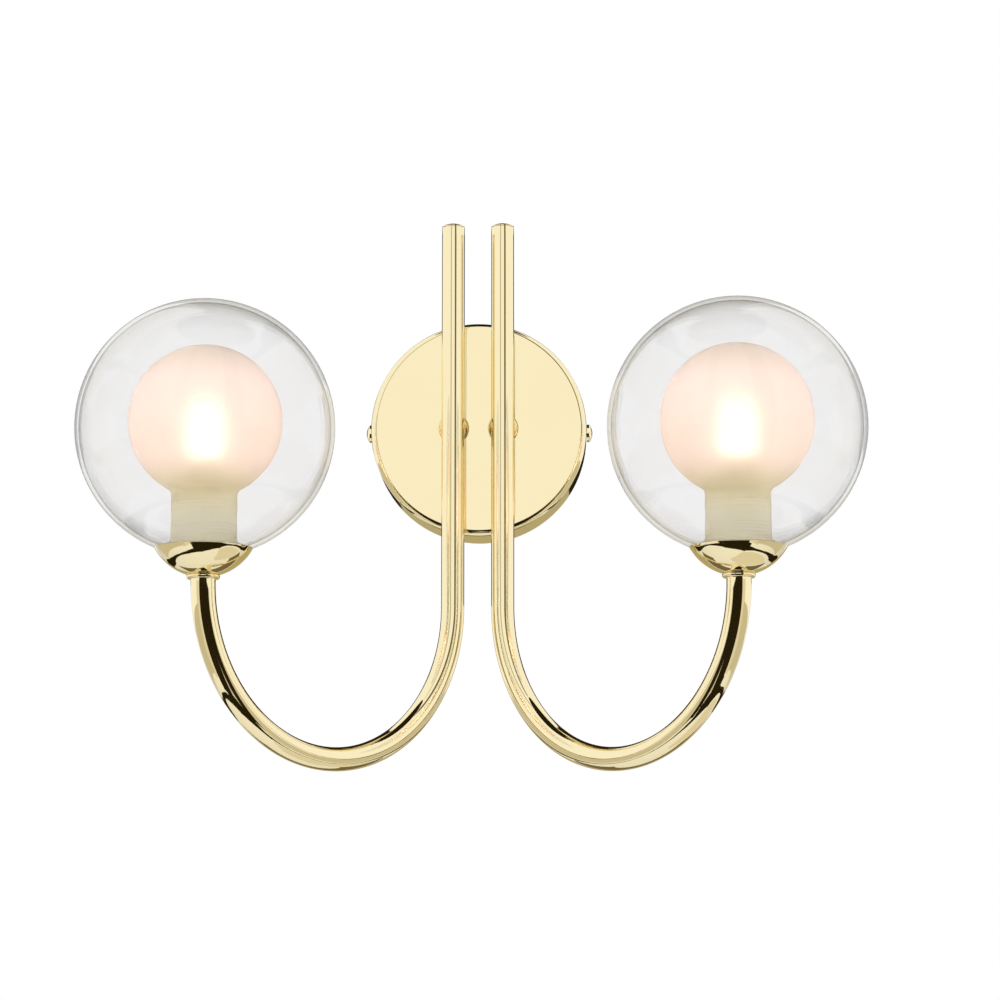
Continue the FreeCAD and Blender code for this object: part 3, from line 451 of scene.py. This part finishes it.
def carried_on(mesh, ring, shift, steps):
    """Draws a ring of edges on along a straight line and gives back its last ring."""
    for _ in range(steps):
        moved = bmesh.ops.extrude_edge_only(mesh, edges=ring)["geom"]
        bmesh.ops.translate(mesh, vec=Vector(shift) / steps, verts=corners_in(moved))
        ring = [item for item in moved if isinstance(item, bmesh.types.BMEdge)
                and all(corner in moved for corner in item.verts) and len(item.link_faces) == 1]
    return ring


def tube_mesh(sign):
    """The wall of one arm, from its top, where the edge is broken, to the end of its short limb."""
    mesh = bmesh.new()
    top = Vector((sign * arm_offset, -arm_out, arm_rise))
    bmesh.ops.create_circle(mesh, segments=around_steps, radius=arm_radius - arm_edge,
                            matrix=Matrix.Translation(top))
    ring = mesh.edges[:]
    for turn in (math.radians(30), math.radians(60), math.radians(90)):
        ring = carried_on(mesh, ring, (0, 0, 0), 1)
        for corner in ring_corners(ring):
            flat = (corner.co - top) * Vector((1, 1, 0))
            corner.co = top + flat.normalized() * (arm_radius - arm_edge * (1 - math.sin(turn)))
            corner.co.z -= arm_edge * (1 - math.cos(turn))
    ring = carried_on(mesh, ring, (0, 0, arm_edge - arm_rise - arm_drop), straight_steps)
    outward = Vector((sign * math.cos(swing), -math.sin(swing), 0))
    middle = Vector((sign * arm_offset, -arm_out, -arm_drop)) + outward * bend_radius
    bent = bmesh.ops.spin(mesh, geom=ring_corners(ring) + ring, cent=middle,
                          axis=outward.cross(Vector((0, 0, 1))), angle=math.pi, steps=bend_steps)
    ring = [item for item in bent["geom_last"] if isinstance(item, bmesh.types.BMEdge)]
    carried_on(mesh, ring, (0, 0, limb_top + arm_drop), 1)
    bmesh.ops.recalc_face_normals(mesh, faces=mesh.faces)
    bmesh.ops.solidify(mesh, geom=mesh.faces[:], thickness=arm_wall)
    return mesh


flange_top = plug_seam + plug_flange
crown = plug_rise - flange_top
crown_radius = (plug_radius ** 2 + crown ** 2) / (2 * crown)
crown_sweep = math.degrees(math.asin(plug_radius / crown_radius))
for side, sign in sides:
    keep_mesh(f"tube_{side}", tube_mesh(sign), brass, "fixture", [f"arm_{side}"])
    mesh = turned((0, -plug_depth), [
        (plug_shank, -plug_depth),
        (plug_shank, plug_seam),
        (plug_radius, plug_seam),
        (plug_radius, flange_top),
        (0, plug_rise - crown_radius, crown_sweep, 12),
    ], (sign * arm_offset, -arm_out, arm_rise), steps=64)
    keep_mesh(f"tube_plug_{side}", mesh, brass, "fixture", [f"arm_cap_{side}"], plug_sharp_degrees)


# ---------------------------------------------------------------------------------------------------------
# Bosses.  Turned brass collars with a domed side, polished as the canopy is.  Each sits on a stem and is
# clamped between the canopy's face and the back of its tube.
# ---------------------------------------------------------------------------------------------------------
boss_radius = 0.0081
boss_nose = 0.0062
boss_base = 0.0016
boss_height = 0.0078
boss_sharp_degrees = 40
boss_rise = boss_height - boss_base
boss_inset = boss_radius - boss_nose
boss_dome = (boss_rise ** 2 + boss_inset ** 2) / (2 * boss_inset)
boss_sweep = math.degrees(math.asin(boss_rise / boss_dome))
for side, sign in sides:
    mesh = turned((stem_hole_radius, 0), [
        (boss_radius, 0),
        (boss_radius, boss_base),
        (boss_radius - boss_dome, boss_base, boss_sweep, 14),
        (stem_hole_radius, boss_height),
    ], (sign * arm_offset, -canopy_depth, 0), steps=64, facing=(0, -1, 0), closed=True)
    keep_mesh(f"boss_{side}", mesh, brass, "fixture", [f"stem_boss_{side}"], boss_sharp_degrees)


# ---------------------------------------------------------------------------------------------------------
# Retaining screws.  Brass-plated slotted screws with a low domed head, through the canopy's side walls into
# the ears of the wall bracket.
# ---------------------------------------------------------------------------------------------------------
screw_seat = canopy_radius + 0.0002
screw_length = 0.0085
screw_radius = 0.002
screw_head = 0.0047
screw_height = 0.003
screw_crown = 0.0018
screw_slot = 0.0012
screw_slot_depth = 0.0009
slot_cut_past = 0.001
slot_cut_length = 0.02
head_curve = (screw_head ** 2 + screw_crown ** 2) / (2 * screw_crown)
head_sweep = math.degrees(math.asin(screw_head / head_curve))
slot_top = screw_seat + screw_height + slot_cut_past
slot_floor = screw_seat + screw_height - screw_slot_depth
for side, sign in sides:
    mesh = turned((0, screw_seat - screw_length), [
        (screw_radius, screw_seat - screw_length),
        (screw_radius, screw_seat),
        (screw_head, screw_seat),
        (screw_head, screw_seat + screw_height - screw_crown),
        (0, screw_seat + screw_height - head_curve, head_sweep, 10),
    ], (0, -side_slot_out, 0), steps=48, facing=(sign, 0, 0))
    screw = keep_mesh(f"side_screw_{side}", mesh, brass, f"retaining_{side}",
                      [f"retaining_screw_{side}"])
    mesh = bmesh.new()
    add_block(mesh, (sign * (slot_top + slot_floor) / 2, -side_slot_out, 0),
              (slot_top - slot_floor, screw_slot, slot_cut_length))
    cut_from(screw, mesh)


# ---------------------------------------------------------------------------------------------------------
# Collars and cups.  A thin round brass collar on the end of each tube, and over it a spun brass bowl, part
# of a ball in outline, that hides the mouth of the glass; a nipple through both holds them.
# ---------------------------------------------------------------------------------------------------------
collar_radius = 0.0081
collar_thickness = 0.0022
collar_edge = 0.0013
collar_sharp_degrees = 50
nipple_hole = 0.0049
cup_floor = limb_top + collar_thickness
bowl_radius = 0.027
floor_radius = 0.0081
rim_radius = 0.02375
cup_wall = 0.001
bowl_centre = cup_floor + math.sqrt(bowl_radius ** 2 - floor_radius ** 2)
cup_rim = bowl_centre - math.sqrt(bowl_radius ** 2 - rim_radius ** 2)
inner_bowl = bowl_radius - cup_wall
inner_rim = math.sqrt(inner_bowl ** 2 - (bowl_centre - cup_rim) ** 2)
inner_floor = math.sqrt(inner_bowl ** 2 - (bowl_centre - cup_floor - cup_wall) ** 2)


def shade_place(sign):
    """Where the vertical through the end of one arm meets height 0."""
    reach = 2 * bend_radius
    return Vector((sign * (arm_offset + reach * math.cos(swing)), -arm_out - reach * math.sin(swing), 0))


def bowl_angle(radius, height):
    """Degrees round the bowl from straight down, for a point at a radius and a height."""
    return math.degrees(math.atan2(radius, bowl_centre - height))


half = collar_thickness / 2
face = collar_radius - collar_edge + math.sqrt(collar_edge ** 2 - half ** 2)
bulge = math.degrees(math.asin(half / collar_edge))
outer_arc = bowl_angle(rim_radius, cup_rim) - bowl_angle(floor_radius, cup_floor)
inner_arc = bowl_angle(inner_rim, cup_rim) - bowl_angle(inner_floor, cup_floor + cup_wall)
for side, sign in sides:
    mesh = turned((nipple_hole, limb_top), [
        (face, limb_top),
        (collar_radius - collar_edge, limb_top + half, 2 * bulge, 12),
        (nipple_hole, cup_floor),
    ], shade_place(sign), steps=64, closed=True)
    keep_mesh(f"collar_{side}", mesh, brass, "fixture", [f"arm_collar_{side}"], collar_sharp_degrees)
    mesh = turned((nipple_hole, cup_floor), [
        (floor_radius, cup_floor),
        (0, bowl_centre, outer_arc, 32),
        (inner_rim, cup_rim),
        (0, bowl_centre, -inner_arc, 24),
        (nipple_hole, cup_floor + cup_wall),
    ], shade_place(sign), steps=128, closed=True)
    keep_mesh(f"cup_{side}", mesh, brass, "fixture", [f"shade_cup_{side}"])


# ---------------------------------------------------------------------------------------------------------
# Globes.  A clear blown outer ball and a frosted inner ball on a threaded neck, with a flared foot fused
# into the outer ball's mouth; the neck screws on the carrier inside the cup.
# ---------------------------------------------------------------------------------------------------------
globe_radius = 0.063
globe_bore = 0.061
globe_gap = 0.0003
neck_radius = 0.0159
neck_bore = 0.0139
mouth_radius = 0.0169
lip_thickness = 0.002
lip_radius = 0.0205
inner_radius = 0.0375
inner_bore = 0.0357
inner_lift = 0.0032
flare = 0.0042
shoulder = 0.004
fused_gap = 0.00005
thread_heights = (-0.0732, -0.0716, -0.0700, -0.0684, -0.0606, -0.0590, -0.0573)
thread_half = 0.0006
thread_swell = 0.0003
glass_sharp_degrees = 60
globe_centre = cup_rim + math.sqrt((globe_radius + globe_gap) ** 2 - rim_radius ** 2)
lip_top = globe_centre - math.sqrt(globe_bore ** 2 - mouth_radius ** 2)
lip_bottom = lip_top - lip_thickness
inner_centre = globe_centre + inner_lift

rim_falloff = 4
rim_gloss = 0.5
face_gloss = 0.016
clear = Finish("clear_glass")
edge_on = clear.node("ShaderNodeLayerWeight", None, {"Blend": 0.5}, output="Facing")
reflecting = edge_on ** rim_falloff * rim_gloss + face_gloss
open_glass = clear.node("ShaderNodeBsdfTransparent", None, {"Color": (0.968, 0.966, 0.966, 1)})
waves = clear.noise(scale=60, detail=2)
mirror = clear.node("ShaderNodeBsdfPrincipled", None, {
    "Base Color": (0.95, 0.95, 0.95, 1), "Metallic": 1.0, "Roughness": 0.02,
    "Normal": clear.bump(waves, distance=0.00005, strength=0.3)})
glazed = clear.node("ShaderNodeMixShader", None, {0: reflecting, 1: open_glass, 2: mirror})
clear_glass = clear.done(glazed)

# The frosted glass changes its tone with height: the level is 0 low on the neck and 1 near the ball's top.
# Its emission is a painted glow, the lamp's light painted onto the glass.
frost_rise = 12
frost_start = 0.8
frost = Finish("frosted_glass")
grain = frost.noise(scale=2600, detail=2)
level = frost.height() * frost_rise + frost_start
# Base colour by height: pale at the neck's foot, olive up the neck, peach over the ball and darker at its
# top; the peach and the darker top are painted lamp light.
glass_tone = frost.ramp(level, [
    (0.05, (0.94, 0.91, 0.79, 1)), (0.18, (0.88, 0.84, 0.66, 1)), (0.32, (0.90, 0.81, 0.74, 1)),
    (0.80, (0.90, 0.81, 0.76, 1)), (1.0, (0.82, 0.75, 0.68, 1))])
# Painted glow: dim on the neck, painted shade where the holder stands, bright peach over the ball, fading at
# its top.
painted_lamp_glow = frost.ramp(level, [
    (0.05, (0.34, 0.31, 0.22, 1)), (0.18, (0.24, 0.22, 0.12, 1)), (0.34, (0.95, 0.80, 0.72, 1)),
    (0.80, (0.95, 0.80, 0.72, 1)), (1.0, (0.50, 0.44, 0.38, 1))])
frosted_glass = frost.surface({
    "Base Color": glass_tone, "Roughness": grain * 0.1 + 0.52, "IOR": 1.3,
    "Transmission Weight": 0.75, "Emission Color": painted_lamp_glow, "Emission Strength": 0.15,
    "Normal": frost.bump(grain, distance=0.00001, strength=0.3)})

drop = globe_centre - lip_top
lip_outer = math.sqrt(globe_radius ** 2 - drop ** 2)
outer_arc = 180 - math.degrees(math.atan2(lip_outer, drop))
inner_arc = 180 - math.degrees(math.atan2(mouth_radius, drop))
seat = globe_bore - fused_gap
foot = neck_radius + flare
foot_edge = globe_centre - math.sqrt(seat ** 2 - foot ** 2)
seat_start = math.sqrt(seat ** 2 - drop ** 2)
seat_arc = math.degrees(math.atan2(foot, globe_centre - foot_edge) - math.atan2(seat_start, drop))
shoulder_reach = math.sqrt((inner_radius + shoulder) ** 2 - (neck_radius + shoulder) ** 2)
shoulder_turn = math.degrees(math.atan2(shoulder_reach, neck_radius + shoulder))
hollow = shoulder + inner_radius - inner_bore
hollow_reach = math.sqrt((inner_bore + hollow) ** 2 - (neck_bore + hollow) ** 2)
hollow_turn = math.degrees(math.atan2(hollow_reach, neck_bore + hollow))
threads = []
for height in thread_heights:
    threads += [(neck_radius, height - thread_half), (neck_radius + thread_swell, height),
                (neck_radius, height + thread_half)]
for side, sign in sides:
    mesh = turned((mouth_radius, lip_top), [
        (lip_outer, lip_top),
        (0, globe_centre, outer_arc, 96),
        (0, globe_centre + globe_bore),
        (0, globe_centre, -inner_arc, 96),
    ], shade_place(sign), steps=128)
    keep_mesh(f"clear_globe_{side}", mesh, clear_glass, f"globe_{side}",
              [f"outer_globe_{side}"], glass_sharp_degrees)
    mesh = turned((neck_bore, lip_bottom), [
        (lip_radius, lip_bottom),
        (lip_radius, lip_top),
        (seat_start, lip_top),
        (0, globe_centre, seat_arc, 4),
        (foot, foot_edge + flare, -90, 10),
        *threads,
        (neck_radius, inner_centre - shoulder_reach),
        (neck_radius + shoulder, inner_centre - shoulder_reach, -shoulder_turn, 8),
        (0, inner_centre, 90 + shoulder_turn, 64),
        (0, inner_centre + inner_bore),
        (0, inner_centre, -90 - hollow_turn, 64),
        (neck_bore + hollow, inner_centre - hollow_reach, hollow_turn, 8),
        (neck_bore, lip_bottom),
    ], shade_place(sign), steps=96)
    keep_mesh(f"frosted_globe_{side}", mesh, frosted_glass, f"globe_{side}",
              [f"inner_globe_{side}"], glass_sharp_degrees)


# ---------------------------------------------------------------------------------------------------------
# Lamps and lampholders.  A two-pin lamp with a moulded base and a frosted cover, lit, in a ceramic holder
# on a steel stirrup; the nipple, its nut and the cast carrier for the glass clamp it in the cup.
# ---------------------------------------------------------------------------------------------------------
def dress(node, material):
    """Gives a carried-over piece its finish."""
    piece = bpy.data.objects[node]
    piece.data.materials.clear()
    piece.data.materials.append(material)


# The lit cover shines at its foot and fades towards its tip.
glow_rise = 25
glow_start = 0.9
glow = Finish("lit_cover")
glow_fade = glow.ramp(glow.height() * glow_rise + glow_start, [
    (0.0, (1.0, 0.93, 0.78, 1)), (0.33, (1.0, 0.93, 0.78, 1)), (0.70, (0.28, 0.24, 0.19, 1))])
lit_cover = glow.surface({
    "Base Color": (0.98, 0.95, 0.88, 1), "Roughness": 0.5,
    "Emission Color": glow_fade, "Emission Strength": 3.0})

base_plastic = Finish("base_plastic")
pitting = base_plastic.noise(scale=700, detail=2)
lamp_base = base_plastic.surface({
    "Base Color": (0.86, 0.85, 0.80, 1), "Roughness": pitting * 0.1 + 0.4,
    "Normal": base_plastic.bump(pitting, distance=0.00001, strength=0.4)})

ceramic = Finish("ceramic")
speckle = ceramic.noise(scale=420, detail=4)
glazed_ceramic = ceramic.surface({
    "Base Color": ceramic.blend(speckle, (0.80, 0.77, 0.70, 1), (0.88, 0.86, 0.80, 1)),
    "Roughness": speckle * 0.15 + 0.35,
    "Normal": ceramic.bump(speckle, distance=0.00003, strength=0.3)})


def bare_metal(name, colour, roughness):
    """Pressed, turned or cast metal, unpolished, with faint spangle and drawing lines."""
    metal = Finish(name)
    spangle = metal.node("ShaderNodeTexVoronoi", None, {"Vector": metal.place(), "Scale": 320.0})
    lines = metal.noise(scale=500, detail=3, stretch=(1, 1, 0.1))
    dull = tuple(part * 0.82 for part in colour) + (1,)
    return metal.surface({
        "Base Color": metal.blend(spangle, colour + (1,), dull), "Metallic": 1.0,
        "Roughness": lines * 0.18 + roughness,
        "Normal": metal.bump(lines, distance=0.00001, strength=0.3)})


zinc = bare_metal("zinc_steel", (0.70, 0.71, 0.72), roughness=0.22)
alloy = bare_metal("cast_alloy", (0.74, 0.74, 0.73), roughness=0.30)
for side in ("left", "right"):
    dress(f"lamp_cover_{side}", lit_cover)
    dress(f"lamp_base_{side}", lamp_base)
    dress(f"lamp_pins_{side}", zinc)
    dress(f"lampholder_{side}", glazed_ceramic)
    dress(f"holder_bracket_{side}", zinc)
    dress(f"holder_screws_{side}", zinc)
    dress(f"nipple_{side}", zinc)
    dress(f"carrier_nut_{side}", zinc)
    dress(f"shade_carrier_{side}", alloy)


# ---------------------------------------------------------------------------------------------------------
# Gaskets.  Soft rings of translucent silicone, punched from sheet, that lie on the carrier's flange and
# cushion the lip of the glass.
# ---------------------------------------------------------------------------------------------------------
rubber = Finish("silicone")
bloom = rubber.noise(scale=300, detail=3)
silicone = rubber.surface({
    "Base Color": (0.80, 0.80, 0.78, 1), "Roughness": bloom * 0.2 + 0.45, "Subsurface Weight": 0.3,
    "Normal": rubber.bump(bloom, distance=0.00002, strength=0.3)})
for side in ("left", "right"):
    dress(f"shade_gasket_{side}", silicone)


# ---------------------------------------------------------------------------------------------------------
# Wall bracket and stem fastenings.  Pressed zinc-plated steel strap with bent-up ears, brass earth screw
# and tag, and the hollow brass stems with their zinc-plated lock washers and nuts.
# ---------------------------------------------------------------------------------------------------------
screw_brass = bare_metal("plain_brass", (0.80, 0.64, 0.34), roughness=0.22)
dress("mounting_bracket", zinc)
dress("earth_screw", screw_brass)
dress("earth_tag", screw_brass)
for side in ("left", "right"):
    dress(f"stem_{side}", screw_brass)
    dress(f"stem_washer_{side}", zinc)
    dress(f"stem_nut_{side}", zinc)


# ---------------------------------------------------------------------------------------------------------
# Wiring.  Woven heat-resistant sleeve over each arm's lead, a striped earth lead, and a moulded nylon
# terminal block with its brass clamping screws.
# ---------------------------------------------------------------------------------------------------------
weave = Finish("woven_sleeve")
strands = weave.node("ShaderNodeTexWave", {"wave_type": "BANDS", "bands_direction": "DIAGONAL"},
                     {"Vector": weave.place(), "Scale": 420.0, "Distortion": 2.0})
woven_sleeve = weave.surface({
    "Base Color": weave.blend(strands, (0.74, 0.70, 0.60, 1), (0.90, 0.87, 0.79, 1)), "Roughness": 0.8,
    "Normal": weave.bump(strands, distance=0.00008, strength=0.6)})

earth_green = (0.02, 0.25, 0.06, 1)
earth_yellow = (0.80, 0.66, 0.04, 1)
stripe = Finish("earth_sleeve")
bands = stripe.node("ShaderNodeTexWave", {"bands_direction": "DIAGONAL"},
                    {"Vector": stripe.place(), "Scale": 60.0})
earth_sleeve = stripe.surface({
    "Base Color": stripe.ramp(bands, [(0.0, earth_green), (0.48, earth_green), (0.52, earth_yellow)]),
    "Roughness": 0.4})

nylon = Finish("nylon")
flow = nylon.noise(scale=160, detail=3)
moulded_nylon = nylon.surface({
    "Base Color": nylon.blend(flow, (0.80, 0.78, 0.70, 1), (0.87, 0.86, 0.80, 1)),
    "Roughness": flow * 0.15 + 0.35, "Subsurface Weight": 0.1,
    "Normal": nylon.bump(flow, distance=0.00004, strength=0.3)})
dress("terminal_block", moulded_nylon)
dress("terminal_screws", screw_brass)
dress("earth_lead", earth_sleeve)
for side in ("left", "right"):
    dress(f"lead_{side}", woven_sleeve)
